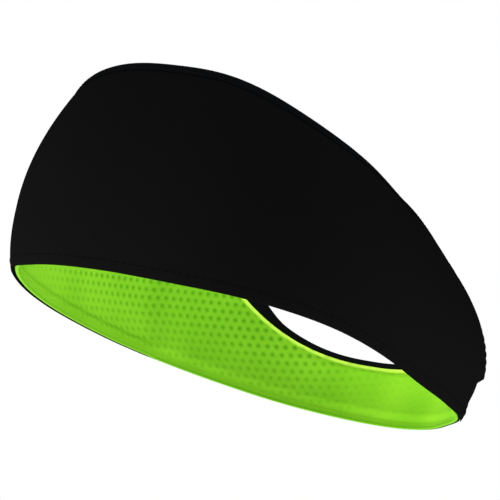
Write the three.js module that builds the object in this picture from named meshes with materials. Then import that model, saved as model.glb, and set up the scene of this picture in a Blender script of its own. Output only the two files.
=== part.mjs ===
// Sports headband: a wide black front, a narrow black back over an elastic, and a green lining all round.
// Millimetres. +Z is up, the lower rim stands on z = 0, the forehead side faces -Y.
import * as THREE from "three";

// ---- Loop, measured at the lower rim on the outside
const LOOP_LENGTH = 190;
const LOOP_WIDTH = 147;
const SQUARENESS = 2.58; // 2 would be an ellipse
const FRONT_FULLNESS = 0.1; // how much wider the front half is than the back half, as a share

// ---- Height of the wall at five places round each side
const FRONT_HEIGHT = 76;
const TEMPLE_HEIGHT = 67.5;
const SIDE_HEIGHT = 62.3;
const EAR_HEIGHT = 42.5;
const BACK_HEIGHT = 25.3;

// ---- How the wall bows with height, to follow a head
const WIDEST_HEIGHT = 19.6;
const FRONT_BOW_RADIUS = 105;
const SIDE_BOW_RADIUS = 38.7;
const BACK_BOW_RADIUS = 22.5;
const FORWARD_LEAN = 0.23; // forward shift for each unit of height

// ---- Cloth
const CLEARANCE = 0.4;
const OUTER_THICKNESS = 0.9;
const LINING_THICKNESS = 1;
const CASING_THICKNESS = 0.7;
const BINDING_THICKNESS = 0.7;
const BINDING_WIDTH = 3;
const THREAD = 0.6;

// ---- Wide front
const FRONT_PANEL_LENGTH = 406; // along the lower rim, from one side seam to the other
const LOWER_HEM = 5;
const HEM_STEP = 1.5; // height over which the hem's second layer ends
const HEM_TOP = LOWER_HEM + HEM_STEP;

// ---- Narrow back
const CASING_TUCK = 9; // how far the casing goes in behind the front panel's end
const SEAM_RAMP = 14; // length over which the lining steps in to make room for the casing
const ELASTIC_THICKNESS = 1;
const PINCH = 1.6; // height over which casing and lining come together beside the elastic

// ---- Lining
const LINING_LIFT = 0.3; // its foot above the lower rim
const LINING_JOIN = 0.4; // the gap between its two ends, at the left side seam

// ---- Thread lines
const HEM_STITCH_HEIGHT = 3.2;
const SEAM_STITCH_INSET = 4;
const STITCH_END_GAP = 2.5;

// ---- Fineness of the cloth's facets
const FRONT_STEPS = 60;
const BACK_STEPS = 24;
const ROWS = [2, 1, 7, 1, 4]; // in each of the wall's five strips, from the foot up
const ELASTIC_STRIP = 2; // the strip that the elastic runs in

const BLACK_KNIT = new THREE.MeshStandardMaterial({ color: 0x101010, roughness: 0.92, metalness: 0 });
const BLACK_TAPE = new THREE.MeshStandardMaterial({ color: 0x0c1114, roughness: 0.8, metalness: 0 });
const GREEN_MESH = new THREE.MeshStandardMaterial({ color: 0x7dcc1f, roughness: 0.85, metalness: 0 });
const BLACK_THREAD = new THREE.MeshStandardMaterial({ color: 0x1a1a1a, roughness: 0.6, metalness: 0 });
const WHITE_ELASTIC = new THREE.MeshStandardMaterial({ color: 0xd8d6cf, roughness: 0.8, metalness: 0 });

const smooth = (value, low, high) => THREE.MathUtils.smoothstep(value, low, high);
const sum = (values) => values.reduce((total, value) => total + value, 0);
const signedPower = (value, power) => Math.sign(value) * Math.abs(value) ** power;

// The lower rim as a closed curve: angle 0 is the middle of the forehead, a quarter turn is +X.
class RimCurve extends THREE.Curve {
  getPoint(share, target = new THREE.Vector3()) {
    const angle = 2 * Math.PI * share;
    const power = 2 / SQUARENESS;
    const across = signedPower(Math.sin(angle), power) * (1 + FRONT_FULLNESS * Math.cos(angle));
    const along = signedPower(Math.cos(angle), power);
    return target.set((LOOP_WIDTH / 2) * across, (-LOOP_LENGTH / 2) * along, 0);
  }
}
const RIM = new RimCurve();
RIM.arcLengthDivisions = 1440;
const RIM_LENGTH = RIM.getLength();
const FRONT_END = FRONT_PANEL_LENGTH / 2; // distance along the rim from the forehead's middle
const fromForehead = (distance) =>
  Math.abs(THREE.MathUtils.euclideanModulo(distance + RIM_LENGTH / 2, RIM_LENGTH) - RIM_LENGTH / 2);

// The angle of a place given by its distance along the rim from the forehead's middle, to +X when positive.
const rimAngle = (distance) => {
  const wrapped = THREE.MathUtils.euclideanModulo(distance, RIM_LENGTH);
  return 2 * Math.PI * RIM.getUtoTmapping(0, wrapped);
};

// A cosine series through values at 0, 45, 90, 135 and 180 degrees, alike on both sides.
const cosineSeries = (values) => {
  const last = values.length - 1;
  const half = (k) => (k === 0 || k === last ? 0.5 : 1);
  const terms = values.map((_, k) => {
    const waves = values.map((value, j) => half(j) * value * Math.cos((j * k * Math.PI) / last));
    return (2 / last) * half(k) * sum(waves);
  });
  return (angle) => sum(terms.map((term, k) => term * Math.cos(k * angle)));
};
const wallHeight = cosineSeries([FRONT_HEIGHT, TEMPLE_HEIGHT, SIDE_HEIGHT, EAR_HEIGHT, BACK_HEIGHT]);

// The wall's curvature up its height, blended from the front's, the side's and the back's.
const bow = (angle) => {
  const [front, side, back] = [1 / FRONT_BOW_RADIUS, 1 / SIDE_BOW_RADIUS, 1 / BACK_BOW_RADIUS];
  const ends = (1 + Math.cos(2 * angle)) / 2;
  return side + ((front - back) / 2) * Math.cos(angle) + ((front + back) / 2 - side) * ends;
};

// A point of the wall, from its distance round the rim, its height, and how far out it lies.
const wallPoint = (distance, z, out) => {
  const angle = rimAngle(distance);
  const base = RIM.getPoint(angle / (2 * Math.PI));
  const normal = new THREE.Vector3(Math.sin(angle) / LOOP_WIDTH, -Math.cos(angle) / LOOP_LENGTH, 0);
  const bulge = (bow(angle) * z * (2 * WIDEST_HEIGHT - z)) / 2;
  const rise = new THREE.Vector3(0, -FORWARD_LEAN * z, z);
  return base.addScaledVector(normal.normalize(), bulge + out).add(rise);
};

// ---- Depths of the layers, outwards from the main surface
const CASING_OUT = -(OUTER_THICKNESS + CLEARANCE);
const CASING_IN = CASING_OUT - CASING_THICKNESS;
const ELASTIC_OUT = CASING_IN - CLEARANCE;
const ELASTIC_IN = ELASTIC_OUT - ELASTIC_THICKNESS;

// 0 where the wall is the front alone, and 1 where the casing lies behind the front's end and beyond it.
const seamShare = (distance) =>
  1 - smooth(FRONT_END - fromForehead(distance), CASING_TUCK + 1, CASING_TUCK + SEAM_RAMP);
const bindingTop = (distance) => wallHeight(rimAngle(distance));
const clothTop = (distance) => bindingTop(distance) - BINDING_THICKNESS - CLEARANCE;

// The elastic runs level over the hem, as wide as the back's narrowest place lets it be.
const ELASTIC_LOW = HEM_TOP + CLEARANCE;
const ELASTIC_HIGH = BACK_HEIGHT - CLEARANCE - BINDING_WIDTH - PINCH;
const PARTED_HIGH = ELASTIC_HIGH + CLEARANCE;

// The front outer's turned end hem lies on top, and its turned lower hem lies behind.
const frontOut = (distance) => OUTER_THICKNESS * seamShare(distance);
const frontIn = (distance, z) => {
  const hem = 1 - smooth(z, LOWER_HEM, HEM_TOP);
  return -OUTER_THICKNESS * (1 + hem * (1 - seamShare(distance)));
};
// The lining lies behind the front, and at the back it parts from the casing to go round the elastic.
const liningOut = (distance, z) => {
  const shut = 1 - smooth(z, LOWER_HEM, HEM_TOP) + smooth(z, PARTED_HIGH, PARTED_HIGH + PINCH);
  const behindCasing = THREE.MathUtils.lerp(ELASTIC_IN, CASING_IN, shut) - CLEARANCE;
  return THREE.MathUtils.lerp(frontIn(distance, z) - CLEARANCE, behindCasing, seamShare(distance));
};
const liningIn = (distance, z) => liningOut(distance, z) - LINING_THICKNESS;

// Bends a box on to the wall. place() takes shares along, up and through the cloth, through being outwards.
const wrapBox = (along, up, place) => {
  const cloth = new THREE.BoxGeometry(1, 1, 1, along, up, 1);
  const position = cloth.getAttribute("position");
  for (let i = 0; i < position.count; i += 1) {
    const point = place(position.getX(i) + 0.5, position.getY(i) + 0.5, position.getZ(i) + 0.5);
    position.setXYZ(i, point.x, point.y, point.z);
  }
  cloth.computeVertexNormals();
  return cloth;
};

// Heights of a panel's rows: its marked heights, with that many even rows from each mark to the next.
const rowHeights = (marks, counts) => {
  const strips = counts.map((count, k) =>
    Array.from({ length: count }, (_, row) => THREE.MathUtils.lerp(marks[k], marks[k + 1], row / count)));
  return [...strips.flat(), marks.at(-1)];
};
// The rows are marked at the hem, and at the back where the layers part, so every layer's rows line up.
// Over the front the upper marks rise from the back's heights to even ones at the forehead.
const clothHeights = (foot) => (distance) => {
  const top = clothTop(distance);
  const [, , ...aboveHem] = ROWS;
  const towardsBack = smooth(fromForehead(distance), 0, FRONT_END - CASING_TUCK);
  const upper = [PARTED_HIGH, PARTED_HIGH + PINCH].map((atBack, k) => {
    const evenShare = sum(aboveHem.slice(0, k + 1)) / sum(aboveHem);
    return THREE.MathUtils.lerp(THREE.MathUtils.lerp(HEM_TOP, top, evenShare), atBack, towardsBack);
  });
  return rowHeights([foot, LOWER_HEM, HEM_TOP, ...upper, top], ROWS);
};
const elasticHeights = () => rowHeights([ELASTIC_LOW, ELASTIC_HIGH], [ROWS[ELASTIC_STRIP]]);

// Places along a piece, as distances round the rim.
const evenStations = (from, to, steps) =>
  Array.from({ length: steps + 1 }, (_, step) => THREE.MathUtils.lerp(from, to, step / steps));
const stationAt = (stations, share) => stations[Math.round(share * (stations.length - 1))];

// A panel along those stations, with the heights of its rows and its two faces' depths.
const panel = ({ stations, heights, outer, inner }) => {
  const rows = heights(stations[0]).length - 1;
  return wrapBox(stations.length - 1, rows, (along, up, through) => {
    const distance = stationAt(stations, along);
    const z = heights(distance)[Math.round(up * rows)];
    const out = THREE.MathUtils.lerp(inner(distance, z), outer(distance, z), through);
    return wallPoint(distance, z, out);
  });
};

// A fold-over tape: an upside-down U over the cloth's upper edge.
const bindingTape = (stations, outer) => {
  const corners = [[0, 0], [0, 2], [3, 2], [3, 0], [2, 0], [2, 1], [1, 1], [1, 0]];
  const section = new THREE.Shape(corners.map(([x, y]) => new THREE.Vector2(x, y)));
  const steps = stations.length - 1;
  const tape = new THREE.ExtrudeGeometry(section, { steps, depth: 1, bevelEnabled: false });
  const position = tape.getAttribute("position");
  for (let i = 0; i < position.count; i += 1) {
    const distance = stationAt(stations, 1 - position.getZ(i));
    const high = bindingTop(distance);
    const z = [high - BINDING_WIDTH, high - BINDING_THICKNESS, high][Math.round(position.getY(i))];
    const front = outer(distance) + CLEARANCE;
    const behind = liningIn(distance, z) - CLEARANCE;
    const depths = [behind - BINDING_THICKNESS, behind, front, front + BINDING_THICKNESS];
    const point = wallPoint(distance, z, depths[Math.round(position.getX(i))]);
    position.setXYZ(i, point.x, point.y, point.z);
  }
  tape.computeVertexNormals();
  return tape;
};

// A thread laid on a face: along the wall at a height, or up the wall's rows at a distance.
const threadAlong = (stations, height, face) =>
  wrapBox(stations.length - 1, 1, (along, up, through) => {
    const distance = stationAt(stations, along);
    const z = height(distance) + (up - 0.5) * THREAD;
    return wallPoint(distance, z, face(distance) + CLEARANCE + through * THREAD);
  });
const threadUp = (distance, face) => {
  const low = HEM_STITCH_HEIGHT - THREAD;
  const high = bindingTop(distance) - BINDING_WIDTH - STITCH_END_GAP;
  const heights = [low, ...clothHeights(0)(distance).filter((z) => z > low && z < high), high];
  return wrapBox(1, heights.length - 1, (along, up, through) => {
    const place = distance + (along - 0.5) * THREAD;
    const z = heights[Math.round(up * (heights.length - 1))];
    return wallPoint(place, z, face(place, z) + CLEARANCE + through * THREAD);
  });
};

const band = new THREE.Group();
const addPiece = (name, geometry, material) => {
  const piece = new THREE.Mesh(geometry, material);
  piece.name = name;
  band.add(piece);
};
const bindingStitchHeight = (distance) => bindingTop(distance) - BINDING_WIDTH / 2;
const hemStitchHeight = () => HEM_STITCH_HEIGHT;

// ---- Wide front
const frontStations = evenStations(-FRONT_END, FRONT_END, FRONT_STEPS);
addPiece("outer_front_panel", panel({
  stations: frontStations, heights: clothHeights(0), outer: frontOut, inner: frontIn,
}), BLACK_KNIT);
addPiece("upper_front_binding", bindingTape(frontStations, frontOut), BLACK_TAPE);
const bindingStitchEnd = FRONT_END - STITCH_END_GAP;
addPiece("upper_front_stitching", threadAlong(
  evenStations(-bindingStitchEnd, bindingStitchEnd, FRONT_STEPS), bindingStitchHeight,
  (distance) => frontOut(distance) + CLEARANCE + BINDING_THICKNESS,
), BLACK_THREAD);
const hemStitchEnd = FRONT_END - SEAM_STITCH_INSET - STITCH_END_GAP;
addPiece("lower_front_stitching", threadAlong(
  evenStations(-hemStitchEnd, hemStitchEnd, FRONT_STEPS), hemStitchHeight, frontOut,
), BLACK_THREAD);
for (const [side, sign] of [["left", 1], ["right", -1]]) {
  const distance = sign * (FRONT_END - SEAM_STITCH_INSET);
  addPiece(`${side}_seam_stitching`, threadUp(distance, frontOut), BLACK_THREAD);
}

// ---- Lining, one strip all round, joined end to end at the left side seam
const beyondFront = RIM_LENGTH - FRONT_END;
addPiece("mesh_lining", panel({
  stations: [
    ...evenStations(-beyondFront + LINING_JOIN / 2, -FRONT_END, BACK_STEPS),
    ...evenStations(-FRONT_END, FRONT_END - LINING_JOIN / 2, FRONT_STEPS).slice(1),
  ],
  heights: clothHeights(LINING_LIFT), outer: liningOut, inner: liningIn,
}), GREEN_MESH);
addPiece("lining_join_stitching", threadUp(
  FRONT_END, (distance, z) => liningIn(distance, z) - 2 * CLEARANCE - THREAD,
), BLACK_THREAD);

// ---- Narrow back
const casingOut = () => CASING_OUT;
const tuckedStations = evenStations(FRONT_END - CASING_TUCK, beyondFront + CASING_TUCK, BACK_STEPS);
addPiece("outer_back_panel", panel({
  stations: tuckedStations, heights: clothHeights(0), outer: casingOut, inner: () => CASING_IN,
}), BLACK_KNIT);
addPiece("back_elastic", panel({
  stations: tuckedStations, heights: elasticHeights, outer: () => ELASTIC_OUT, inner: () => ELASTIC_IN,
}), WHITE_ELASTIC);
const openStations = evenStations(FRONT_END + CLEARANCE, beyondFront - CLEARANCE, BACK_STEPS);
addPiece("upper_back_binding", bindingTape(openStations, casingOut), BLACK_TAPE);
const stitchedStations = evenStations(FRONT_END + STITCH_END_GAP, beyondFront - STITCH_END_GAP, BACK_STEPS);
addPiece("upper_back_stitching", threadAlong(
  stitchedStations, bindingStitchHeight, () => CASING_OUT + CLEARANCE + BINDING_THICKNESS,
), BLACK_THREAD);
addPiece("lower_back_stitching", threadAlong(stitchedStations, hemStitchHeight, casingOut), BLACK_THREAD);

// The frame's origin is under the middle of the band's box, on the lower rim's plane.
const middle = new THREE.Box3().setFromObject(band).getCenter(new THREE.Vector3());
band.position.set(-middle.x, -middle.y, 0);
const headband = new THREE.Group();
headband.name = "sports_headband";
headband.add(band);

export default headband;
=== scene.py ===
"""Sports headband: a wide black knit front, a narrow elastic back and a green eyelet lining."""

import logging
import math
from dataclasses import dataclass, field
from enum import Enum
from functools import cached_property
from typing import Callable

import bpy
import numpy as np
from mathutils import Matrix, Vector


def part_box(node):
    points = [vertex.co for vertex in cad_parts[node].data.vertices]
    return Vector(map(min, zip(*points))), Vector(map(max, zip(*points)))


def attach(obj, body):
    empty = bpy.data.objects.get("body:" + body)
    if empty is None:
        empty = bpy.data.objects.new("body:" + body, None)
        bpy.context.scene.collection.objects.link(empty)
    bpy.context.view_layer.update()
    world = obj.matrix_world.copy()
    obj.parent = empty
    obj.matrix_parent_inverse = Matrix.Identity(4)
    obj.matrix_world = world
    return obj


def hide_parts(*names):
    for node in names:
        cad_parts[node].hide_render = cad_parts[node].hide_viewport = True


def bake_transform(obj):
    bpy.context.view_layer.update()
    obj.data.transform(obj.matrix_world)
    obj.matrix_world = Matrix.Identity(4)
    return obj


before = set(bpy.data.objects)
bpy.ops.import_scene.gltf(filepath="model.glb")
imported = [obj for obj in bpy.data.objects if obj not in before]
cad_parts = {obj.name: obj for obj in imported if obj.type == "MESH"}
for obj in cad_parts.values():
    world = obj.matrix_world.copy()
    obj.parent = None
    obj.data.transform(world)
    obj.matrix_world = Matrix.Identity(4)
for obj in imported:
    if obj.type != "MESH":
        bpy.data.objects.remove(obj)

MM = 0.001
MM_IN_A_METRE = 1000.0
ON_THE_FLOOR = 0.01 * MM
SHARP_TURN = math.radians(50)
LOG = logging.getLogger("headband")

Array = np.ndarray
Along = Callable[[Array], Array]
Over = Callable[[Array, Array], Array]
Colour = tuple[float, float, float]


class Body(Enum):
    """The two halves of the band, which the stretch joint parts."""

    FRONT = "front_section"
    BACK = "back_section"


class Slot(Enum):
    """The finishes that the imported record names."""

    KNIT = "black_knit"
    MESH = "green_mesh"
    TAPE = "black_tape"
    THREAD = "black_thread"
    WEBBING = "elastic_web"


class Run(Enum):
    """How a line of stitches runs over the wall, as the turn of every other stitch from level."""

    ALONG = (0.0, 0.0)
    UP = (90.0, 90.0)
    CROSSED = (38.0, -38.0)


def smooth(value: Array, low: float, high: float) -> Array:
    """Eased step.

    Args:
        value: where to read the step.
        low: the value at which it leaves 0.
        high: the value at which it reaches 1.

    Returns:
        Shares from 0 to 1.
    """
    share = np.clip((value - low) / (high - low), 0.0, 1.0)
    return share * share * (3.0 - 2.0 * share)


def blend(share: Array, start: Array, stop: Array) -> Array:
    """The value that share of the way from start to stop."""
    return start + (stop - start) * share


# ---------------------------------------------------------------- shape of the wall and its layers


@dataclass(frozen=True)
class Ease:
    """A place where the soft lower rim lies a little off its even curve."""

    centre: float
    reach: float
    height: float
    out: float
    up: float


RIM_EASES = (
    Ease(22 * MM, 32 * MM, 25 * MM, 0.0, -0.5 * MM),
    Ease(82 * MM, 36 * MM, 25 * MM, 0.0, 0.5 * MM),
    Ease(145 * MM, 40 * MM, 25 * MM, 0.0, -0.9 * MM),
    Ease(198 * MM, 24 * MM, 9 * MM, 2.6 * MM, 0.1 * MM),
    Ease(262 * MM, 40 * MM, 25 * MM, 1.0 * MM, -0.2 * MM),
    Ease(-222 * MM, 62 * MM, 25 * MM, -0.8 * MM, 0.95 * MM),
    Ease(-128 * MM, 58 * MM, 25 * MM, 2.2 * MM, -0.5 * MM),
    Ease(-68 * MM, 24 * MM, 25 * MM, 1.2 * MM, 0.7 * MM),
)


@dataclass(frozen=True)
class Pucker:
    """A place where the fold of the tape stands up a little."""

    centre: float
    reach: float
    up: float


@dataclass(frozen=True)
class Wall:
    """The band's wall: the closed curve of its lower rim, and how it rises and bows from there."""

    length: float = 190 * MM
    width: float = 147 * MM
    squareness: float = 2.58
    front_fullness: float = 0.1
    heights: tuple[float, ...] = (76 * MM, 67.5 * MM, 62.3 * MM, 42.5 * MM, 25.3 * MM)
    widest_height: float = 19.6 * MM
    front_bow_radius: float = 105 * MM
    side_bow_radius: float = 38.7 * MM
    back_bow_radius: float = 22.5 * MM
    forward_lean: float = 0.23
    shift: float = 0.0
    samples: int = 8001
    eases: tuple[Ease, ...] = RIM_EASES

    @classmethod
    def in_frame(cls) -> "Wall":
        """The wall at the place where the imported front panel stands.

        Returns:
            A wall whose shift along Y puts its forehead on the panel's foremost point on the floor.
        """
        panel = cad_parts["outer_front_panel"].data
        foot = [v.co.y for v in panel.vertices if v.co.z < ON_THE_FLOOR]
        return cls(shift=min(foot) + cls.length / 2)

    def rim(self, angle: Array) -> tuple[Array, Array]:
        """The lower rim at an angle from the forehead.

        Args:
            angle: in radians, a quarter turn being +X.

        Returns:
            How far across and how far along the point lies.
        """
        power = 2.0 / self.squareness
        sine, cosine = np.sin(angle), np.cos(angle)
        across = np.sign(sine) * np.abs(sine) ** power * (1 + self.front_fullness * cosine)
        along = np.sign(cosine) * np.abs(cosine) ** power
        return self.width / 2 * across, -self.length / 2 * along

    @cached_property
    def measured(self) -> tuple[Array, Array]:
        """The rim's own measure.

        Returns:
            Angles round the rim, and the distance along the rim at each.
        """
        angles = np.linspace(0, 2 * math.pi, self.samples)
        steps = np.hypot(*(np.diff(part) for part in self.rim(angles)))
        return angles, np.concatenate([[0.0], np.cumsum(steps)])

    @property
    def rim_length(self) -> float:
        """The distance all round the rim."""
        return float(self.measured[1][-1])

    def wrapped(self, distance: Array) -> Array:
        """The same place as measured from the forehead's middle the nearer way, -X being negative."""
        half = self.rim_length / 2
        return np.mod(distance + half, 2 * half) - half

    def angle(self, distance: Array) -> Array:
        """The angle of a place given by its distance along the rim from the forehead's middle."""
        angles, distances = self.measured
        return np.interp(np.mod(distance, self.rim_length), distances, angles)

    def height(self, distance: Array) -> Array:
        """How high the wall stands.

        Args:
            distance: along the rim from the forehead's middle.

        Returns:
            The sum of a cosine series through the five named heights.
        """
        angle = self.angle(distance)
        last = len(self.heights) - 1
        ends = [0.5 if k in (0, last) else 1.0 for k in range(last + 1)]
        total = np.zeros_like(angle)
        for k in range(last + 1):
            waves = [ends[j] * h * math.cos(j * k * math.pi / last) for j, h in enumerate(self.heights)]
            total = total + 2.0 / last * ends[k] * sum(waves) * np.cos(k * angle)
        return total

    def bow(self, angle: Array) -> Array:
        """The wall's curvature up its height.

        Args:
            angle: in radians from the forehead.

        Returns:
            A blend of the front's, the side's and the back's curvature.
        """
        radii = self.front_bow_radius, self.side_bow_radius, self.back_bow_radius
        front, side, back = (1 / radius for radius in radii)
        ends = (1 + np.cos(2 * angle)) / 2
        return side + (front - back) / 2 * np.cos(angle) + ((front + back) / 2 - side) * ends

    def points(self, distance: Array, z: Array, out: Array) -> Array:
        """Points of the wall.

        Args:
            distance: along the rim from the forehead's middle.
            z: height over the rim.
            out: how far outwards of the main surface.

        Returns:
            Their places in the frame, in a last axis of three.
        """
        distance, z, out = np.broadcast_arrays(distance, z, out)
        angle = self.angle(distance)
        rise = z
        for ease in self.eases:
            away = np.abs(self.wrapped(distance - ease.centre))
            share = (1 - smooth(away, 0.0, ease.reach)) * (1 - smooth(z, 0.0, ease.height))
            out, rise = out + ease.out * share, rise + ease.up * share
        across, along = self.rim(angle)
        side, ahead = np.sin(angle) / self.width, -np.cos(angle) / self.length
        size = np.hypot(side, ahead)
        reach = self.bow(angle) * z * (2 * self.widest_height - z) / 2 + out
        leant = along + ahead / size * reach - self.forward_lean * z + self.shift
        return np.stack([across + side / size * reach, leant, rise], axis=-1)


@dataclass(frozen=True)
class Layers:
    """How the cloths lie one behind another in the wall, as depths outwards from its main surface."""

    wall: Wall
    clearance: float = 0.4 * MM
    outer: float = 0.9 * MM
    casing: float = 0.7 * MM
    elastic: float = 1 * MM
    lining: float = 1 * MM
    tape: float = 0.7 * MM
    tape_width: float = 3 * MM
    front_length: float = 406 * MM
    hem: float = 5 * MM
    hem_step: float = 1.5 * MM
    tuck: float = 9 * MM
    seam_start: float = 1 * MM
    seam_ramp: float = 14 * MM
    top_run: float = 0.5 * MM
    pinch: float = 1.6 * MM
    rim_black: float = 0.55 * MM
    rim_low: float = 0.5 * MM
    rim_high: float = 2.2 * MM
    rim_gap: float = 0.05 * MM
    roll_centre: float = 64 * MM
    roll_reach: float = 132 * MM
    roll_ease: float = 16 * MM
    foot_lift: float = 0.4 * MM
    lining_lift: float = 0.05 * MM
    lining_tucked: float = 0.8 * MM
    end_drawn: float = 0.65 * MM
    end_cloth: float = 0.5 * MM
    drawn_low: float = 15.6 * MM
    drawn_high: float = 17.8 * MM
    leg_front: float = 3.4 * MM
    leg_back: float = 2.0 * MM
    leg_span: tuple[float, float] = (222 * MM, 266 * MM)
    pucker: Pucker = Pucker(-229 * MM, 15 * MM, 2.4 * MM)
    end_stand: float = 1.4 * MM
    front_sink: float = 0.55 * MM
    casing_sink: float = 0.35 * MM
    sink_run: float = 1.5 * MM

    def at_rim(self, z: Array) -> Array:
        """1 in the turned lower edge, where the lining rolls out to the outer cloth's thin edge."""
        return 1 - smooth(z, self.rim_low, self.rim_high)

    def pressed(self, distance: Array, z: Array) -> Array:
        """1 under the tape, whose outer leg is sewn down until it lies level with the cloth below it."""
        foot = self.wall.height(distance) - self.tape_width
        return smooth(z, foot - self.sink_run, foot)

    @property
    def front_end(self) -> float:
        """Distance from the forehead's middle to either side seam."""
        return self.front_length / 2

    @property
    def beyond_front(self) -> float:
        """Distance from the forehead's middle, past the nape, to the far side seam."""
        return self.wall.rim_length - self.front_end

    @property
    def hem_top(self) -> float:
        """Height at which the hem's second layer has ended."""
        return self.hem + self.hem_step

    @property
    def elastic_span(self) -> tuple[float, float]:
        """Heights of the elastic's two edges."""
        high = self.wall.heights[-1] - self.clearance - self.tape_width - self.pinch
        return self.hem_top + self.clearance, high

    def from_forehead(self, distance: Array) -> Array:
        """Distance from the forehead's middle by the nearer way round."""
        return np.abs(self.wall.wrapped(distance))

    def rolled_in(self, distance: Array) -> Array:
        """1 where the rim's black edge rolls in, about the forehead's left, and 0 where it rolls out."""
        away = np.abs(self.wall.wrapped(distance - self.roll_centre))
        return 1 - smooth(away, self.roll_reach - self.roll_ease, self.roll_reach + self.roll_ease)

    def front_foot(self, distance: Array) -> Array:
        """Height of the black cloths' lowest line."""
        return self.foot_lift * (1 - self.rolled_in(distance))

    def lining_foot(self, distance: Array) -> Array:
        """Height of the lining's lowest line."""
        return blend(self.rolled_in(distance), self.lining_lift, self.lining_tucked)

    def tape_top(self, distance: Array) -> Array:
        """Height of the tape's fold, which puckers up at one place."""
        away = np.abs(self.wall.wrapped(distance - self.pucker.centre))
        return self.wall.height(distance) + self.pucker.up * (1 - smooth(away, 0.0, self.pucker.reach))

    def inner_leg(self, distance: Array) -> Array:
        """Length of the tape's leg over the lining, which narrows towards the nape."""
        return blend(smooth(self.from_forehead(distance), *self.leg_span), self.leg_front, self.leg_back)

    def seam_share(self, distance: Array) -> Array:
        """0 where the wall is the front alone, and 1 where the casing lies behind it and beyond it."""
        left = self.front_end - self.from_forehead(distance)
        return 1 - smooth(left, self.tuck + self.seam_start, self.tuck + self.seam_ramp)

    def cloth_top(self, distance: Array) -> Array:
        """Height of the cloths' upper edge, inside the fold of the tape."""
        return self.wall.height(distance) - self.tape - self.clearance

    def front_out(self, distance: Array, z: Array) -> Array:
        """The front's outer face: its turned ends stand up, and their lower corners are drawn in.

        Args:
            distance: along the rim from the forehead's middle.
            z: height over the rim.

        Returns:
            Depths outwards from the wall's main surface.
        """
        stands = smooth(z, self.drawn_low, self.drawn_high)
        raised = self.seam_share(distance) * blend(stands, -self.end_drawn, self.end_stand)
        return raised - self.front_sink * self.pressed(distance, z)

    def front_in(self, distance: Array, z: Array) -> Array:
        """The front's inner face, with the lower hem's second layer.

        Args:
            distance: along the rim from the forehead's middle.
            z: height over the rim.

        Returns:
            Depths outwards from the wall's main surface.
        """
        hem = 1 - smooth(z, self.hem, self.hem_top)
        share = self.seam_share(distance)
        stands = smooth(z, self.drawn_low, self.drawn_high)
        end = blend(stands, -self.end_drawn - self.end_cloth, -self.outer)
        return blend(share, blend(self.at_rim(z), -self.outer * (1 + hem), -self.rim_black), end)

    def casing_out(self, distance: Array, z: Array) -> Array:
        """The back casing's outer face."""
        return -self.outer - self.clearance - self.casing_sink * self.pressed(distance, z)

    def casing_in(self, distance: Array, z: Array) -> Array:
        """The back casing's inner face."""
        face = 0 * distance - self.outer - self.clearance
        return face - blend(self.at_rim(z), self.casing, self.rim_black)

    def elastic_out(self, distance: Array, z: Array) -> Array:
        """The elastic's outer face."""
        return self.casing_in(distance, z) - self.clearance

    def elastic_in(self, distance: Array, z: Array) -> Array:
        """The elastic's inner face."""
        return self.elastic_out(distance, z) - self.elastic

    def lining_out(self, distance: Array, z: Array) -> Array:
        """The lining's outer face, which goes round the elastic at the back.

        Args:
            distance: along the rim from the forehead's middle.
            z: height over the rim.

        Returns:
            Depths outwards from the wall's main surface.
        """
        low, high = self.elastic_span
        top = self.cloth_top(distance) - self.top_run
        shut = 1 - smooth(z, self.rim_high, low) + smooth(z, high, top)
        behind = blend(shut, self.elastic_in(distance, z), self.casing_in(distance, z))
        gap = blend(self.at_rim(z), self.clearance, self.rim_gap)
        return blend(self.seam_share(distance), self.front_in(distance, z), behind) - gap

    def lining_in(self, distance: Array, z: Array) -> Array:
        """The lining's inner face, against the head."""
        return self.lining_out(distance, np.maximum(z, self.rim_high)) - self.lining


# ---------------------------------------------------------------- meshes of cloth, tape and thread


@dataclass(frozen=True)
class Stations:
    """Places along a strip, and how thick the strip is at each, which rounds its two ends."""

    places: Array
    shares: Array

    @classmethod
    def between(cls, start: float, stop: float, pitch: float, radius: float) -> "Stations":
        """Even places from one end of a strip to the other.

        Args:
            start: distance round the rim of the first end.
            stop: distance round the rim of the last end.
            pitch: about how far apart the places lie.
            radius: how far from each end its rounding begins.

        Returns:
            The places, with closer ones at the two ends.
        """
        turns = np.radians([82.0, 60.0, 30.0])
        near = radius * (1 - np.sin(turns))
        inner = np.linspace(start + radius, stop - radius, max(2, round((stop - start) / pitch)))
        places = np.concatenate([start + near, inner, (stop - near)[::-1]])
        shares = np.concatenate([np.cos(turns), np.ones(len(inner)), np.cos(turns)[::-1]])
        return cls(places[:, None], shares[:, None])


def climbed(points: Array) -> Array:
    """How far up the cloth each point lies from its station's first point."""
    steps = np.linalg.norm(np.diff(points, axis=1), axis=2)
    return np.hstack([np.zeros((len(points), 1)), np.cumsum(steps, axis=1)])


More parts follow.
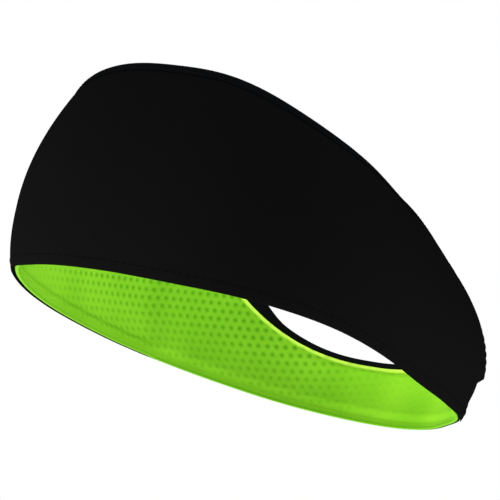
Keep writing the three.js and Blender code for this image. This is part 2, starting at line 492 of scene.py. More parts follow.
@dataclass(frozen=True)
class Strip:
    """A strip of cloth as one closed shell: two faces that meet in a rounded foot and a rounded top."""

    name: str
    wall: Wall
    stations: Stations
    foot: Along
    top: Along
    outer: Over
    inner: Over
    rows: tuple[int, int] = (24, 12)
    relief: Over | None = None
    edge_turns: tuple[float, ...] = (30.0, 60.0, 80.0)

    def middle(self, z: Array) -> Array:
        """Depth halfway between the two faces, at every station."""
        at = self.stations.places
        return (self.outer(at, z) + self.inner(at, z)) / 2

    def half(self, z: Array) -> Array:
        """Half the thickness at every station, which dies away at the strip's two ends."""
        at = self.stations.places
        return (self.outer(at, z) - self.inner(at, z)) / 2 * self.stations.shares

    def face(self, sign: float, rows: int) -> tuple[Array, Array]:
        """One face, from the middle of the foot to the middle of the top.

        Args:
            sign: 1 for the outer face and -1 for the inner one.
            rows: how many rows of places it has between the rounded edges.

        Returns:
            Heights and depths, one line for each station.
        """
        at = self.stations.places
        foot, top = self.foot(at), self.top(at)
        low, high = foot + self.half(foot), top - self.half(top)
        heights = blend(np.linspace(0, 1, rows)[None, :], low, high)
        turns = np.radians([*self.edge_turns, 90.0])[None, :]
        under = low - self.half(low) * np.sin(turns[:, ::-1])
        over = high + self.half(high) * np.sin(turns)
        foot_out = self.middle(low) + sign * self.half(low) * np.cos(turns[:, ::-1])
        top_out = self.middle(high) + sign * self.half(high) * np.cos(turns)
        out = self.middle(heights) + sign * self.half(heights)
        return np.hstack([under, heights, over]), np.hstack([foot_out, out, top_out])

    def build(self) -> bpy.types.Object:
        """The strip's mesh, with its map in metres of cloth.

        Returns:
            The new object.
        """
        at = self.stations.places
        sides = []
        for sign, rows in ((1.0, self.rows[0]), (-1.0, self.rows[1])):
            heights, out = self.face(sign, rows)
            points = self.wall.points(at, heights, out)
            up = climbed(points)
            if self.relief is not None and sign < 0:
                points = self.wall.points(at, heights, out + self.relief(at, up))
            sides.append((points, np.stack(np.broadcast_arrays(at, up), axis=-1)))
        return shell(self.name, *sides)


def zipped(left: list[int], right: list[int]) -> list[tuple[int, ...]]:
    """Triangles between two lines of vertices that share their first and last vertex.

    Args:
        left: vertex numbers along one line.
        right: vertex numbers along the other.

    Returns:
        The triangles, each turning from left to right.
    """
    faces, i, j = [], 0, 0
    while i < len(left) - 1 or j < len(right) - 1:
        if (i + 1) * (len(right) - 1) <= (j + 1) * (len(left) - 1):
            corner = (left[i], right[j], left[i + 1])
            i += 1
        else:
            corner = (left[i], right[j], right[j + 1])
            j += 1
        if len(set(corner)) == 3:
            faces.append(corner)
    return faces


def mesh_object(name: str, points: Array, faces: list[tuple[int, ...]]) -> bpy.types.Object:
    """A closed mesh with its faces outwards.

    Args:
        name: the piece's name.
        points: vertices, one to a line.
        faces: vertex numbers of each face, all turning the same way.

    Returns:
        The new object, in the scene and smooth but for its sharp edges.
    """
    mesh = bpy.data.meshes.new(name)
    mesh.from_pydata(points.tolist(), [], faces)
    mesh.update()
    mesh.calc_loop_triangles()
    triangles = np.empty(3 * len(mesh.loop_triangles), dtype=np.int32)
    mesh.loop_triangles.foreach_get("vertices", triangles)
    a, b, c = (points[triangles.reshape(-1, 3)[:, k]] for k in range(3))
    if np.einsum("ij,ij->", a, np.cross(b, c)) < 0:
        mesh.flip_normals()
    piece = bpy.data.objects.new(name, mesh)
    bpy.context.scene.collection.objects.link(piece)
    bpy.ops.object.select_all(action="DESELECT")
    piece.select_set(True)
    bpy.context.view_layer.objects.active = piece
    bpy.ops.object.shade_smooth_by_angle(angle=SHARP_TURN)
    piece.select_set(False)
    return piece


def shell(name: str, outside: tuple[Array, Array], inside: tuple[Array, Array]) -> bpy.types.Object:
    """A closed shell swept through stations.

    Args:
        name: the piece's name.
        outside: points and cloth map of the outer face, from its foot to its top, for each station.
        inside: the same for the inner face, which shares the first and the last point.

    Returns:
        The new object, with its cloth map.
    """
    points, cloth = (np.concatenate([o, i[:, -2:0:-1]], axis=1) for o, i in zip(outside, inside))
    count, around = points.shape[:2]
    numbers = np.arange(count * around).reshape(count, around)
    ahead = np.roll(numbers, -1, axis=1)
    quads = np.stack([numbers[:-1], ahead[:-1], ahead[1:], numbers[1:]], axis=-1).reshape(-1, 4)
    top = outside[0].shape[1]
    first = zipped(numbers[0, :top].tolist(), [0, *numbers[0, :top - 2:-1].tolist()])
    last_row = numbers[-1].tolist()
    last = zipped(last_row[:top], [last_row[0], *last_row[:top - 2:-1]])
    faces = [*map(tuple, quads.tolist()), *first, *(face[::-1] for face in last)]
    piece = mesh_object(name, points.reshape(-1, 3), faces)
    layer = piece.data.uv_layers.new(name="cloth")
    corners = np.empty(len(piece.data.loops), dtype=np.int32)
    piece.data.loops.foreach_get("vertex_index", corners)
    layer.data.foreach_set("uv", cloth.reshape(-1, 2)[corners].astype(np.float32).ravel())
    return piece


# ---------------------------------------------------------------- shader maths


class Value:
    """A number in a shader, on which ordinary arithmetic adds Math nodes."""

    def __init__(self, graph: "Graph", socket: bpy.types.NodeSocket) -> None:
        """Wraps a socket of that graph."""
        self.graph = graph
        self.socket = socket

    def math(self, operation: str, *others: "Value | float") -> "Value":
        """A Math node.

        Args:
            operation: Blender's name of it.
            others: the values after this one.

        Returns:
            Its result.
        """
        return self.graph.maths(operation, self, *others)

    def __add__(self, other: "Value | float") -> "Value":
        """This plus other."""
        return self.math("ADD", other)

    def __radd__(self, other: float) -> "Value":
        """Other plus this."""
        return self.graph.maths("ADD", other, self)

    def __sub__(self, other: "Value | float") -> "Value":
        """This less other."""
        return self.math("SUBTRACT", other)

    def __rsub__(self, other: float) -> "Value":
        """Other less this."""
        return self.graph.maths("SUBTRACT", other, self)

    def __mul__(self, other: "Value | float") -> "Value":
        """This times other."""
        return self.math("MULTIPLY", other)

    def __rmul__(self, other: float) -> "Value":
        """Other times this."""
        return self.graph.maths("MULTIPLY", other, self)


class Graph:
    """The nodes of one material."""

    def __init__(self, name: str, **uniform: float | Colour) -> None:
        """Starts a material.

        Args:
            name: the material's name.
            uniform: values set on the shader's own sockets, by name, with _ for each space.
        """
        self.material = bpy.data.materials.new(name)
        self.material.use_nodes = True
        self.tree = self.material.node_tree
        self.shader = self.tree.nodes["Principled BSDF"]
        for socket, value in uniform.items():
            self.shader.inputs[socket.replace("_", " ")].default_value = value

    def node(self, kind: str, settings: dict, inputs: dict) -> bpy.types.Node:
        """Any node.

        Args:
            kind: its type, without the ShaderNode in front.
            settings: its own properties, which are set first.
            inputs: by socket name or number, the value or link of each.

        Returns:
            The node.
        """
        made = self.tree.nodes.new("ShaderNode" + kind)
        for key, setting in settings.items():
            setattr(made, key, setting)
        for key, value in inputs.items():
            self.feed(made.inputs[key], value)
        return made

    def feed(self, socket: bpy.types.NodeSocket, value: "Value | float | Colour") -> None:
        """Links a value to a socket, or sets it there.

        Args:
            socket: the input.
            value: what it is given.
        """
        if isinstance(value, Value):
            self.tree.links.new(value.socket, socket)
        else:
            socket.default_value = value

    def maths(self, operation: str, *values: "Value | float") -> Value:
        """A Math node over those values."""
        made = self.node("Math", {"operation": operation}, dict(enumerate(values)))
        return Value(self, made.outputs[0])

    def cloth(self) -> tuple[Value, Value]:
        """The piece's cloth map.

        Returns:
            Millimetres along the strip, and millimetres up it.
        """
        uv = self.node("UVMap", {"uv_map": "cloth"}, {})
        parts = self.node("SeparateXYZ", {}, {0: Value(self, uv.outputs["UV"])})
        along, up = (Value(self, parts.outputs[axis]) * MM_IN_A_METRE for axis in "XY")
        return along, up

    def noise(self, scale: float, detail: float = 2.0) -> Value:
        """Noise over the piece.

        Args:
            scale: how many lumps lie in a metre.
            detail: how many finer layers it has.

        Returns:
            Values from 0 to 1.
        """
        place = self.node("TexCoord", {}, {})
        spread = {"Vector": Value(self, place.outputs["Object"]), "Scale": scale, "Detail": detail}
        return Value(self, self.node("TexNoise", {}, spread).outputs[0])

    def step(self, value: Value, low: float, high: float) -> Value:
        """An eased step.

        Args:
            value: where to read it.
            low: the value at which it leaves 0.
            high: the value at which it reaches 1.

        Returns:
            Shares from 0 to 1.
        """
        settings = {"interpolation_type": "SMOOTHSTEP"}
        made = self.node("MapRange", settings, {"Value": value, "From Min": low, "From Max": high})
        return Value(self, made.outputs[0])

    def mix(self, share: Value, low: "Value | Colour", high: "Value | Colour") -> Value:
        """A mixed colour.

        Args:
            share: how far it lies from low to high.
            low: the colour at 0.
            high: the colour at 1.

        Returns:
            The colour between them.
        """
        low, high = ((*c, 1.0) if isinstance(c, tuple) else c for c in (low, high))
        made = self.node("Mix", {"data_type": "RGBA"}, {0: share, 6: low, 7: high})
        return Value(self, made.outputs[2])

    def colour(self, value: Value) -> None:
        """Feeds the shader's colour."""
        self.feed(self.shader.inputs["Base Color"], value)

    def bump(self, height: Value, depth: float) -> None:
        """Feeds the shader's normal from a height of 0 to 1 that stands for that depth."""
        made = self.node("Bump", {}, {"Height": height, "Distance": depth, "Strength": 1.0})
        self.feed(self.shader.inputs["Normal"], Value(self, made.outputs["Normal"]))


# ---------------------------------------------------------------- finishes


@dataclass(frozen=True)
class KnitFinish:
    """Close black jersey: fine ribs along the wales, and a barely uneven dye."""

    name: str
    dark: Colour = (0.0038, 0.0038, 0.0039)
    light: Colour = (0.0048, 0.0048, 0.0048)
    wale: float = 0.55
    course: float = 0.42
    relief: float = 0.05 * MM
    rib_share: float = 0.6
    lumps: float = 160.0
    roughness: float = 0.9

    def material(self) -> bpy.types.Material:
        """The knit's look.

        Returns:
            The material.
        """
        graph = Graph(self.name, Roughness=self.roughness, Specular_IOR_Level=0.0)
        along, up = graph.cloth()
        ribs = (along * (2 * math.pi / self.wale)).math("SINE")
        loops = (up * (2 * math.pi / self.course)).math("SINE")
        knit = 0.5 + 0.3 * ribs + 0.2 * loops * ribs
        graph.bump(knit, self.relief)
        dye = self.rib_share * knit + (1 - self.rib_share) * graph.noise(self.lumps)
        graph.colour(graph.mix(dye, self.dark, self.light))
        return graph.material


@dataclass(frozen=True)
class Pull:
    """A length of the lining that is pulled flat, so that little is left of its eyelets."""

    centre: float
    reach: float
    left: float


@dataclass(frozen=True)
class Eyelets:
    """The lining's closed eyelets: a field of dimples in staggered rows that run on a slant."""

    pitch: float = 3.6
    slant: float = -14.0
    radius: float = 0.78
    softness: float = 0.72
    hem: float = 3.6
    fade: float = 1.6
    low_strength: float = 0.45
    low_span: tuple[float, float] = (8.0, 28.0)
    pull_core: float = 0.4
    pulls: tuple[Pull, ...] = (Pull(-318.0, 70.0, 0.15), Pull(239.0, 70.0, 0.15), Pull(-82.0, 62.0, 0.4))

    @property
    def row(self) -> float:
        """Distance between rows, for eyelets that are equally far from all their neighbours."""
        return self.pitch * math.sqrt(3) / 2

    @property
    def turn(self) -> tuple[float, float]:
        """Cosine and sine of the rows' slant."""
        return math.cos(math.radians(self.slant)), math.sin(math.radians(self.slant))

    def dimples(self, distance: Array, climbed: Array) -> Array:
        """How deep the cloth is pressed in.

        Args:
            distance: along the strip, in metres.
            climbed: up the strip, in metres.

        Returns:
            Shares from 0 on the flat to 1 in the middle of a dimple.
        """
        cosine, sine = self.turn
        along, up = distance / MM, climbed / MM
        line = (up * cosine - along * sine) / self.row
        place = (along * cosine + up * sine) / self.pitch + 0.5 * np.mod(np.floor(line), 2)
        away = np.hypot((np.mod(place, 1) - 0.5) * self.pitch, (np.mod(line, 1) - 0.5) * self.row)
        shown = smooth(up, self.hem, self.hem + self.fade)
        shown = shown * blend(smooth(up, *self.low_span), self.low_strength, 1.0)
        for pull in self.pulls:
            gone = smooth(np.abs(along - pull.centre), pull.reach * self.pull_core, pull.reach)
            shown = shown * blend(gone, pull.left, 1.0)
        return (1 - smooth(away, 0.0, self.radius + self.softness)) * shown

    def mask(self, graph: Graph, along: Value, up: Value) -> Value:
        """The same field in a shader.

        Args:
            graph: where its nodes go.
            along: millimetres along the strip.
            up: millimetres up the strip.

        Returns:
            1 inside an eyelet and 0 between them.
        """
        cosine, sine = self.turn
        line = (up * cosine - along * sine) * (1 / self.row)
        odd = line.math("FLOOR").math("FLOORED_MODULO", 2.0)
        place = (along * cosine + up * sine) * (1 / self.pitch) + 0.5 * odd
        aside = (place.math("FRACT") - 0.5) * self.pitch
        over = (line.math("FRACT") - 0.5) * self.row
        away = (aside * aside + over * over).math("SQRT")
        shown = self.low_strength + (1 - self.low_strength) * graph.step(up, *self.low_span)
        shown = graph.step(up, self.hem, self.hem + self.fade) * shown
        for pull in self.pulls:
            beside = (along - pull.centre).math("ABSOLUTE")
            gone = graph.step(beside, pull.reach * self.pull_core, pull.reach)
            shown = shown * (pull.left + (1 - pull.left) * gone)
        low, high = self.radius - self.softness, self.radius + self.softness
        return (1 - graph.step(away, low, high)) * shown


@dataclass(frozen=True)
class MeshFinish:
    """Bright green mesh, darker in eyelets; painted highlight on its top edge, painted shade on its foot.
    """

    eyelets: Eyelets
    name: str = "green_mesh_cloth"
    green: Colour = (0.235, 0.565, 0.018)
    worn: Colour = (0.185, 0.49, 0.012)
    pit: Colour = (0.085, 0.33, 0.006)
    # foot: painted shade, a darker green along the lining's lowest millimetres where its rounded foot
    # turns from the light.
    foot: Colour = (0.140, 0.40, 0.008)
    foot_shade_span: tuple[float, float] = (1.0, 2.0)
    # edge: painted highlight, the pale yellow-green of the lining's upper fold catching light just under
    # the tape.
    edge: Colour = (0.66, 1.0, 0.10)
    highlight_span: tuple[float, float] = (0.8, 2.0)
    patches: float = 28.0
    patch_span: tuple[float, float] = (0.35, 0.65)
    thread: float = 0.5
    relief: float = 0.06 * MM
    roughness: float = 0.85
    gloss: float = 0.1

    def material(self) -> bpy.types.Material:
        """The mesh's look.

        Returns:
            The material.
        """
        graph = Graph(self.name, Roughness=self.roughness, Specular_IOR_Level=self.gloss)
        along, up = graph.cloth()
        # Painted highlight: the edge colour is laid on the lining over the first millimetres below the
        # tape's inner leg.
        below = graph.node("Attribute", {"attribute_name": "below_tape"}, {})
        painted_edge_highlight = 1 - graph.step(Value(graph, below.outputs["Fac"]) * MM_IN_A_METRE, *self.highlight_span)
        ribs = (along * (2 * math.pi / self.thread)).math("SINE")
        loops = (up * (2 * math.pi / self.thread)).math("SINE")
        patches = graph.step(graph.noise(self.patches), *self.patch_span)
        ground = graph.mix(patches, self.worn, self.green)
        # Painted shade: the foot colour darkens the green over the lowest one to two millimetres of the
        # lining.
        turned = 1 - graph.step(up, *self.foot_shade_span)
        foot_shaded = graph.mix(turned, ground, self.foot)
        pitted = graph.mix(self.eyelets.mask(graph, along, up), foot_shaded, self.pit)
        graph.colour(graph.mix(painted_edge_highlight, pitted, self.edge))
        graph.bump(0.5 + 0.25 * ribs + 0.25 * loops, self.relief)
        return graph.material


@dataclass(frozen=True)
class TapeFinish:
    """Black binding tape with fine cross ribs."""

    name: str = "black_binding_tape"
    dark: Colour = (0.0030, 0.0035, 0.0040)
    light: Colour = (0.0046, 0.0053, 0.0060)
    rib: float = 0.6
    relief: float = 0.08 * MM
    rib_share: float = 0.6
    lumps: float = 300.0
    roughness: float = 0.8

    def material(self) -> bpy.types.Material:
        """The tape's look.

        Returns:
            The material.
        """
        graph = Graph(self.name, Roughness=self.roughness, Specular_IOR_Level=0.0)
        along, _ = graph.cloth()
        ribs = 0.5 + 0.5 * (along * (2 * math.pi / self.rib)).math("SINE")
        graph.bump(ribs, self.relief)
        dye = self.rib_share * ribs + (1 - self.rib_share) * graph.noise(self.lumps)
        graph.colour(graph.mix(dye, self.dark, self.light))
        return graph.material


@dataclass(frozen=True)
class ThreadFinish:
    """Black sewing thread, a little smoother than the cloth."""

    name: str = "black_sewing_thread"
    dark: Colour = (0.0034, 0.0034, 0.0034)
    light: Colour = (0.0046, 0.0046, 0.0046)
    lumps: float = 2500.0
    roughness: float = 0.7

    def material(self) -> bpy.types.Material:
        """The thread's look.

        Returns:
            The material.
        """
        graph = Graph(self.name, Roughness=self.roughness, Specular_IOR_Level=0.0)
        graph.colour(graph.mix(graph.noise(self.lumps), self.dark, self.light))
        return graph.material


@dataclass(frozen=True)
class WebbingFinish:
    """Off-white woven elastic, with its rubber lines along it."""

    name: str = "woven_elastic"
    valley: Colour = (0.45, 0.43, 0.39)
    crest: Colour = (0.74, 0.72, 0.67)
    line: float = 1.2
    roughness: float = 0.75

    def material(self) -> bpy.types.Material:
        """The elastic's look.

        Returns:
            The material.
        """
        graph = Graph(self.name, Roughness=self.roughness)
        _, up = graph.cloth()
        lines = 0.5 + 0.5 * (up * (2 * math.pi / self.line)).math("SINE")
        graph.colour(graph.mix(lines, self.valley, self.crest))
        return graph.material


# ---------------------------------------------------------------- sub-assemblies


@dataclass
class Dresser:
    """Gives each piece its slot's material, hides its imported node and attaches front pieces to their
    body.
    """

    seam: Vector
    nape: Vector
    finishes: dict[Slot, bpy.types.Material]

    def dress(self, piece: bpy.types.Object, node: str, slot: Slot, stretches: bool) -> bpy.types.Object:
        """Finishes one piece.

        Args:
            piece: the new object.
            node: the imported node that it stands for.
            slot: the record's finish.
            stretches: whether it runs from the front into the stretched back.

        Returns:
            The same object.
        """
        piece.data.materials.clear()
        piece.data.materials.append(self.finishes[slot])
        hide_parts(node)
        if stretches:
            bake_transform(piece)
        else:
            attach(piece, Body.FRONT.value)
        LOG.info("%s stands for %s, %d faces", piece.name, node, len(piece.data.polygons))
        return piece


@dataclass
class Panels:
    """The two black outer panels: the wide front and the casing of the narrow back."""

    layers: Layers
    pitch: float = 2.4 * MM
    edge: float = 0.45 * MM
    hem_allowance: float = 5 * MM
    end_allowance: float = 9 * MM
    front_area: float = 0.0290
    casing_area: float = 0.0062

    def front(self) -> bpy.types.Object:
        """The wide front, with its turned ends and its turned lower hem.

        Returns:
            The new object.
        """
        layers = self.layers
        stations = Stations.between(-layers.front_end, layers.front_end, self.pitch, self.edge)
        return Strip(
            "front_cloth", layers.wall, stations, layers.front_foot, layers.cloth_top,
            layers.front_out, layers.front_in, rows=(48, 30),
        ).build()

    def casing(self) -> bpy.types.Object:
        """The back's outer cloth, which goes in behind the front's ends.

        Returns:
            The new object.
        """
        layers = self.layers
        start, stop = layers.front_end - layers.tuck, layers.beyond_front + layers.tuck
        stations = Stations.between(start, stop, self.pitch / 2, self.edge)
        return Strip(
            "back_cloth", layers.wall, stations, layers.front_foot, layers.cloth_top,
            layers.casing_out, layers.casing_in, rows=(30, 16),
        ).build()

    def build(self, dresser: Dresser) -> None:
        """Builds and dresses both panels.

        Args:
            dresser: finishes each piece.
        """
        layers = self.layers
        front = dresser.dress(self.front(), "outer_front_panel", Slot.KNIT, False)
        width = layers.wall.heights[0] + self.hem_allowance
        flat = (width, layers.front_length + 2 * self.end_allowance)
        casing = dresser.dress(self.casing(), "outer_back_panel", Slot.KNIT, True)
        flat = (layers.wall.height(np.array(layers.front_end - layers.tuck)), self.casing_length)

    @property
    def casing_length(self) -> float:
        """The casing's length with both its tucks."""
        return self.layers.beyond_front - self.layers.front_end + 2 * self.layers.tuck


@dataclass
class Lining:
    """The green eyelet lining, one strip all round, joined end to end at the left side seam."""

    layers: Layers
    eyelets: Eyelets
    pitch: float = 0.72 * MM
    edge: float = 0.3 * MM
    join_gap: float = 0.2 * MM
    dimple: float = 0.38 * MM
    roll: float = 0.15 * MM
    roll_low: float = 0.8 * MM
    roll_span: tuple[float, float] = (2.6 * MM, 3.3 * MM)
    area: float = 0.0322

    def inner(self, distance: Array, z: Array) -> Array:
        """The inner face, with the foot's turned roll."""
        fold = smooth(z, 0.0, self.roll_low) * (1 - smooth(z, *self.roll_span))
        return self.layers.lining_in(distance, z) - self.roll * fold

    def dimpled(self, distance: Array, up: Array) -> Array:
        """How far the eyelets press the inner face outwards."""
        return self.dimple * self.eyelets.dimples(distance, up)

    def build(self, dresser: Dresser) -> None:
        """Args:
            dresser: finishes each piece.
        """
        layers = self.layers
        start, stop = -layers.beyond_front + self.join_gap / 2, layers.front_end - self.join_gap / 2
        strip = Strip(
            "lining_cloth", layers.wall, Stations.between(start, stop, self.pitch, self.edge),
            layers.lining_foot, layers.cloth_top, layers.lining_out, self.inner, rows=(10, 80),
            relief=self.dimpled,
        )
        piece = strip.build()
        self.mark_edge(piece)
        dresser.dress(piece, "mesh_lining", Slot.MESH, True)
        flat = (layers.wall.heights[0], stop - start)

    def mark_edge(self, piece: bpy.types.Object) -> None:
        """Writes how far each vertex lies under the tape, as the attribute below_tape.

        Args:
            piece: the lining.
        """
        count = len(piece.data.vertices)
        places = np.empty(3 * count, dtype=np.float32)
        piece.data.vertices.foreach_get("co", places)
        map_points = np.zeros((count, 2))
        corners = np.empty(len(piece.data.loops), dtype=np.int32)
        piece.data.loops.foreach_get("vertex_index", corners)
        uv = np.empty(2 * len(corners), dtype=np.float32)
        piece.data.uv_layers["cloth"].data.foreach_get("uv", uv)
        map_points[corners] = uv.reshape(-1, 2)
        at = map_points[:, 0]
        tape_foot = self.layers.wall.height(at) - self.layers.inner_leg(at)
        below = tape_foot - places.reshape(-1, 3)[:, 2]
        # This distance places the lining's painted edge highlight in its material.
        attribute = piece.data.attributes.new("below_tape", "FLOAT", "POINT")
        attribute.data.foreach_set("value", below.astype(np.float32))


@dataclass
class Binding:
    """The black tape folded over the cloths' upper edge, in a front and a back length."""

    layers: Layers
    pitch: float = 2 * MM
    gap: float = 0.08 * MM
    leg_rows: int = 5
    fold_rows: int = 9
    fold_rise: float = 0.8 * MM
    edge_share: float = 0.6
    flat_width: float = 10.4 * MM

    def path(self, at: Array, outer: Over) -> tuple[Array, Array]:
        """The middle of the tape, from its outer leg's foot over the fold to its inner leg's foot.

        Args:
            at: stations.
            outer: the depth of the cloth that the outer leg lies on.

        Returns:
            Heights and depths, one line for each station.
        """
        half = self.layers.tape / 2
        top = self.layers.wall.height(at)
        feet = top - self.layers.tape_width, top - self.layers.inner_leg(at)
        shoulder = self.layers.tape_top(at) - half - self.fold_rise
        front = outer(at, feet[0]) + self.gap + half
        behind = self.layers.lining_in(at, shoulder) - self.gap - half
        climb = np.linspace(0, 1, self.leg_rows)[None, :]
        leg, inner_leg = (blend(climb, foot, shoulder) for foot in feet)
        turns = np.linspace(0, math.pi, self.fold_rows)[None, 1:-1]
        fold = shoulder + self.fold_rise * np.sin(turns)
        fold_out = (front + behind) / 2 + (front - behind) / 2 * np.cos(turns)
        legs = np.ones((1, self.leg_rows))
        heights = np.hstack([leg, fold, inner_leg[:, ::-1]])
        return heights, np.hstack([front * legs, fold_out, behind * legs])

    def tape(self, name: str, start: float, stop: float, outer: Over) -> bpy.types.Object:
        """One length of tape.

        Args:
            name: the piece's name.
            start: distance round the rim of its first end.
            stop: distance round the rim of its last end.
            outer: the depth of the cloth that its outer leg lies on.

        Returns:
            The new object.
        """
        half = self.layers.tape / 2
        stations = Stations.between(start, stop, self.pitch, half)
        at = stations.places
        heights, depths = self.path(at, outer)
        rise, run = np.gradient(heights, axis=1), np.gradient(depths, axis=1)
        size = np.hypot(rise, run)
        sides = []
        under = half * self.edge_share
        for sign in (1.0, -1.0):
            thick = sign * half * stations.shares
            ends = heights[:, :1] - under, heights[:, -1:] - under
            z = np.hstack([ends[0], heights - thick * run / size, ends[1]])
            out = np.hstack([depths[:, :1], depths + thick * rise / size, depths[:, -1:]])
            points = self.layers.wall.points(at, z, out)
            sides.append((points, np.stack(np.broadcast_arrays(at, climbed(points)), axis=-1)))
        return shell(name, *sides)

    def build(self, dresser: Dresser) -> None:
        """Builds and dresses both lengths of tape.

        Args:
            dresser: finishes each piece.
        """
        layers = self.layers
        end, gap = layers.front_end, layers.clearance / 2
        front = self.tape("front_tape", -end, end - gap / 2, layers.front_out)
        dresser.dress(front, "upper_front_binding", Slot.TAPE, False)
        flat = (self.flat_width, 2 * end)
        back = self.tape("back_tape", end + gap, layers.beyond_front - gap, layers.casing_out)
        dresser.dress(back, "upper_back_binding", Slot.TAPE, True)
        flat = (self.flat_width, layers.beyond_front - end)


@dataclass
class Elastic:
    """The woven elastic inside the back, ribbed along its length."""

    layers: Layers
    pitch: float = 3 * MM
    rib: float = 1.2 * MM
    rib_depth: float = 0.12 * MM
    edge: float = 0.3 * MM

    def outer(self, distance: Array, z: Array) -> Array:
        """Its outer face, with ribs."""
        ribs = 0.5 + 0.5 * np.cos(z * 2 * math.pi / self.rib)
        return self.layers.elastic_out(distance, z) - self.rib_depth * ribs

    def low_edge(self, distance: Array) -> Array:
        """Height of its lower edge."""
        return self.layers.elastic_span[0] + 0 * distance

    def high_edge(self, distance: Array) -> Array:
        """Height of its upper edge."""
        return self.layers.elastic_span[1] + 0 * distance

    def build(self, dresser: Dresser) -> None:
        """Args:
            dresser: finishes each piece.
        """
        layers = self.layers
        low, high = layers.elastic_span
        start, stop = layers.front_end - layers.tuck, layers.beyond_front + layers.tuck
        strip = Strip(
            "elastic_band", layers.wall, Stations.between(start, stop, self.pitch, self.edge),
            self.low_edge, self.high_edge, self.outer, layers.elastic_in, rows=(48, 8),
        )
        piece = dresser.dress(strip.build(), "back_elastic", Slot.WEBBING, True)
        flat = (high - low, stop - start)


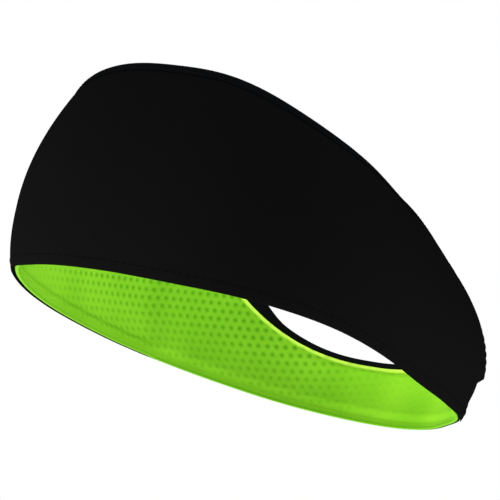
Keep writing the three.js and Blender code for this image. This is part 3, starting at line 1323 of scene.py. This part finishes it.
@dataclass
class Stitches:
    """All the lines of thread, each a row of single stitches laid on the wall."""

    layers: Layers
    length: float = 2.1 * MM
    spacing: float = 2.8 * MM
    radius: float = 0.17 * MM
    arch: float = 0.06 * MM
    sides: int = 6
    cuts: int = 3
    hem_height: float = 3.2 * MM
    seam_inset: float = 4 * MM
    end_gap: float = 2.5 * MM
    taper: float = 0.55
    bedded: float = 0.25
    tape_share: float = 0.6
    single: tuple[Array, list[tuple[int, ...]]] = field(init=False)

    def __post_init__(self) -> None:
        """Models the one stitch that every line repeats."""
        self.single = self.model()

    def model(self) -> tuple[Array, list[tuple[int, ...]]]:
        """One stitch, lying along X and arched towards Z.

        Returns:
            Its vertices and its faces.
        """
        bpy.ops.mesh.primitive_cylinder_add(
            vertices=self.sides, radius=self.radius, depth=self.length, rotation=(0, math.pi / 2, 0),
        )
        stitch = bpy.context.object
        bpy.ops.object.transform_apply(location=True, rotation=True, scale=True)
        bpy.ops.object.mode_set(mode="EDIT")
        bpy.ops.mesh.select_mode(type="EDGE")
        bpy.ops.mesh.select_all(action="DESELECT")
        bpy.ops.object.mode_set(mode="OBJECT")
        vertices = stitch.data.vertices
        for edge in stitch.data.edges:
            first, last = (vertices[k].co.x for k in edge.vertices)
            edge.select = abs(first - last) > self.length / 2
        bpy.ops.object.mode_set(mode="EDIT")
        bpy.ops.mesh.subdivide(number_cuts=self.cuts)
        bpy.ops.object.mode_set(mode="OBJECT")
        points = np.array([v.co for v in stitch.data.vertices])
        faces = [tuple(face.vertices) for face in stitch.data.polygons]
        bpy.data.objects.remove(stitch)
        end = np.abs(2 * points[:, :1] / self.length)
        points[:, 1:] *= 1 - self.taper * end**4
        points[:, 2] += self.arch * (1 - end[:, 0] ** 2)
        return points, faces

    def line(
        self, name: str, at: Array, z: Array, face: Over, side: float, run: Run,
    ) -> bpy.types.Object:
        """One line of stitches.

        Args:
            name: the piece's name.
            at: distance round the rim of each stitch.
            z: height of each stitch.
            face: depth of the face that they lie on.
            side: 1 where that face looks out and -1 where it looks in.
            run: how they lie.

        Returns:
            The new object.
        """
        points, faces = self.single
        turns = np.radians(np.resize(run.value, len(at)))[:, None]
        along, up, off = points.T[:, None, :]
        places = at[:, None] + along * np.cos(turns) - up * np.sin(turns)
        heights = z[:, None] + along * np.sin(turns) + up * np.cos(turns)
        depth = face(places, heights) + side * (off + self.radius * self.bedded)
        spots = self.layers.wall.points(places, heights, depth).reshape(-1, 3)
        moved = [tuple(k + i * len(points) for k in corner) for i in range(len(at)) for corner in faces]
        return mesh_object(name, spots, moved)

    def spaced(self, start: float, stop: float) -> Array:
        """Middles of stitches that fill a length."""
        return np.linspace(start, stop, max(2, round((stop - start) / self.spacing) + 1))

    def level(self, name: str, span: tuple[float, float], height: Along, face: Over) -> bpy.types.Object:
        """A line of stitches round the band, on its outside."""
        at = self.spaced(*span)
        return self.line(name, at, height(at), face, 1.0, Run.ALONG)

    def upright(self, name: str, distance: float, face: Over, side: float, run: Run) -> bpy.types.Object:
        """A line of stitches up the band, from its hem to under its tape.

        Args:
            name: the piece's name.
            distance: where it stands, along the rim from the forehead's middle.
            face: depth of the face that it lies on.
            side: 1 where that face looks out and -1 where it looks in.
            run: how its stitches lie.

        Returns:
            The new object.
        """
        top = float(self.layers.wall.height(np.array(distance)))
        high = top - self.layers.tape_width - self.end_gap
        z = self.spaced(self.hem_height, high)
        return self.line(name, np.full_like(z, distance), z, face, side, run)

    def on_tape(self, at: Array) -> Array:
        """Height of the stitches through the tape's outer leg."""
        return self.layers.wall.height(at) - self.layers.tape_width * self.tape_share

    def on_hem(self, at: Array) -> Array:
        """Height of the stitches through the lower hem."""
        return self.hem_height + 0 * at

    def over_front_tape(self, at: Array, z: Array) -> Array:
        """Depth of the front tape's outer face."""
        return self.layers.front_out(at, z) + self.layers.tape

    def over_back_tape(self, at: Array, z: Array) -> Array:
        """Depth of the back tape's outer face."""
        return self.layers.casing_out(at, z) + self.layers.tape

    def build(self, dresser: Dresser) -> None:
        """Builds and dresses every line.

        Args:
            dresser: finishes each piece.
        """
        layers = self.layers
        end, nape_end = layers.front_end, layers.beyond_front
        front = (self.end_gap - end, end - self.end_gap)
        hem_end = end - self.seam_inset - self.end_gap
        back = (end + self.end_gap, nape_end - self.end_gap)
        seam = end - self.seam_inset
        front_out, casing_out = layers.front_out, layers.casing_out
        pieces = {
            "upper_front_stitching": self.level(
                "front_tape_stitches", front, self.on_tape, self.over_front_tape),
            "lower_front_stitching": self.level(
                "front_hem_stitches", (-hem_end, hem_end), self.on_hem, front_out),
            "upper_back_stitching": self.level(
                "back_tape_stitches", back, self.on_tape, self.over_back_tape),
            "lower_back_stitching": self.level(
                "back_hem_stitches", back, self.on_hem, casing_out),
            "left_seam_stitching": self.upright(
                "left_seam_stitches", seam, front_out, 1.0, Run.UP),
            "right_seam_stitching": self.upright(
                "right_seam_stitches", -seam, front_out, 1.0, Run.UP),
            "lining_join_stitching": self.upright(
                "lining_join_stitches", end, layers.lining_in, -1.0, Run.CROSSED),
        }
        for node, piece in pieces.items():
            dresser.dress(piece, node, Slot.THREAD, "_back_" in node)


# ---------------------------------------------------------------- studio


@dataclass(frozen=True)
class Lamp:
    """A square soft lamp: its name, where it stands, its side and its power in watts."""

    name: str
    place: tuple[float, float, float]
    size: float
    power: float


@dataclass
class Studio:
    """A pale floor well under the band, an even white room, soft lamps and the camera."""

    wall: Wall
    floor_depth: float = 0.9
    floor_size: float = 60.0
    floor_grey: float = 0.88
    room: float = 1.0
    azimuth: float = 30.754
    elevation: float = -11.899
    roll: float = 15.741
    distance: float = 1.1434
    aim_height: float = 0.030
    lens: float = 221.32
    aside: float = 0.005983
    under: float = 0.008676
    clip: tuple[float, float] = (0.05, 50.0)
    lamps: tuple[Lamp, ...] = (
        Lamp("low_right_lamp", (0.42, 0.24, -0.32), 0.4, 2.5),
        Lamp("low_left_lamp", (-0.33, -0.19, -0.40), 0.4, 4.2),
    )

    def floor(self) -> None:
        """The floor."""
        bpy.ops.mesh.primitive_plane_add(size=self.floor_size, location=(0, 0, -self.floor_depth))
        plane = bpy.context.object
        plane.name = "floor"
        graph = Graph("pale_floor", Roughness=0.9, Base_Color=(self.floor_grey,) * 3 + (1.0,))
        plane.data.materials.append(graph.material)

    def world(self) -> None:
        """The room's even white light."""
        world = bpy.data.worlds.new("white_room")
        world.use_nodes = True
        background = world.node_tree.nodes["Background"]
        background.inputs["Color"].default_value = (1.0, 1.0, 1.0, 1.0)
        background.inputs["Strength"].default_value = self.room
        bpy.context.scene.world = world
        bpy.context.scene.view_settings.view_transform = "Standard"

    @property
    def target(self) -> Vector:
        """The place in the band that the camera and the lamps are set by."""
        return Vector((0, self.wall.shift, self.aim_height))

    def hang(self, lamp: Lamp) -> None:
        """Hangs a lamp, turned to the band.

        Args:
            lamp: which one.
        """
        light = bpy.data.lights.new(lamp.name, "AREA")
        light.size = lamp.size
        light.energy = lamp.power
        hung = bpy.data.objects.new(lamp.name, light)
        hung.location = lamp.place
        hung.rotation_euler = (self.target - hung.location).to_track_quat("-Z", "Y").to_euler()
        bpy.context.scene.collection.objects.link(hung)

    def camera(self) -> None:
        """The camera, below the rim and looking up into the band."""
        turns = self.azimuth, self.elevation, self.roll
        azimuth, elevation, roll = (math.radians(turn) for turn in turns)
        flat = math.cos(elevation)
        back = Vector((math.sin(azimuth) * flat, -math.cos(azimuth) * flat, math.sin(elevation)))
        level = Vector((math.cos(azimuth), math.sin(azimuth), 0))
        upright = back.cross(level)
        right = math.cos(roll) * level + math.sin(roll) * upright
        up = math.cos(roll) * upright - math.sin(roll) * level
        ahead = (-back - self.aside * right + self.under * up).normalized()
        right = (right - right.dot(ahead) * ahead).normalized()
        up = right.cross(ahead)
        data = bpy.data.cameras.new("camera")
        data.lens = self.lens
        data.clip_start, data.clip_end = self.clip
        camera = bpy.data.objects.new("camera", data)
        axes = Matrix((right, up, -ahead)).transposed().to_4x4()
        camera.matrix_world = Matrix.Translation(self.target + self.distance * back) @ axes
        bpy.context.scene.collection.objects.link(camera)
        bpy.context.scene.camera = camera

    def build(self) -> None:
        """Builds the whole studio."""
        self.floor()
        self.world()
        self.camera()
        for lamp in self.lamps:
            self.hang(lamp)
        LOG.info("studio stands")


def main() -> None:
    """Builds the band's sub-assemblies in order, then the studio."""
    logging.basicConfig(level=logging.INFO, format="%(name)s: %(message)s")
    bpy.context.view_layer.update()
    wall = Wall.in_frame()
    layers = Layers(wall)
    eyelets = Eyelets()
    finishes = {
        Slot.KNIT: KnitFinish("black_jersey").material(),
        Slot.MESH: MeshFinish(eyelets).material(),
        Slot.TAPE: TapeFinish().material(),
        Slot.THREAD: ThreadFinish().material(),
        Slot.WEBBING: WebbingFinish().material(),
    }
    seam = Vector((0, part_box("outer_front_panel")[1].y, 0))
    nape = Vector((0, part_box("outer_back_panel")[1].y, 0))
    bpy.ops.object.select_all(action="DESELECT")
    dresser = Dresser(seam, nape, finishes)
    Panels(layers).build(dresser)
    Lining(layers, eyelets).build(dresser)
    Elastic(layers).build(dresser)
    Binding(layers).build(dresser)
    Stitches(layers).build(dresser)
    Studio(wall).build()


if __name__ == "__main__":
    main()
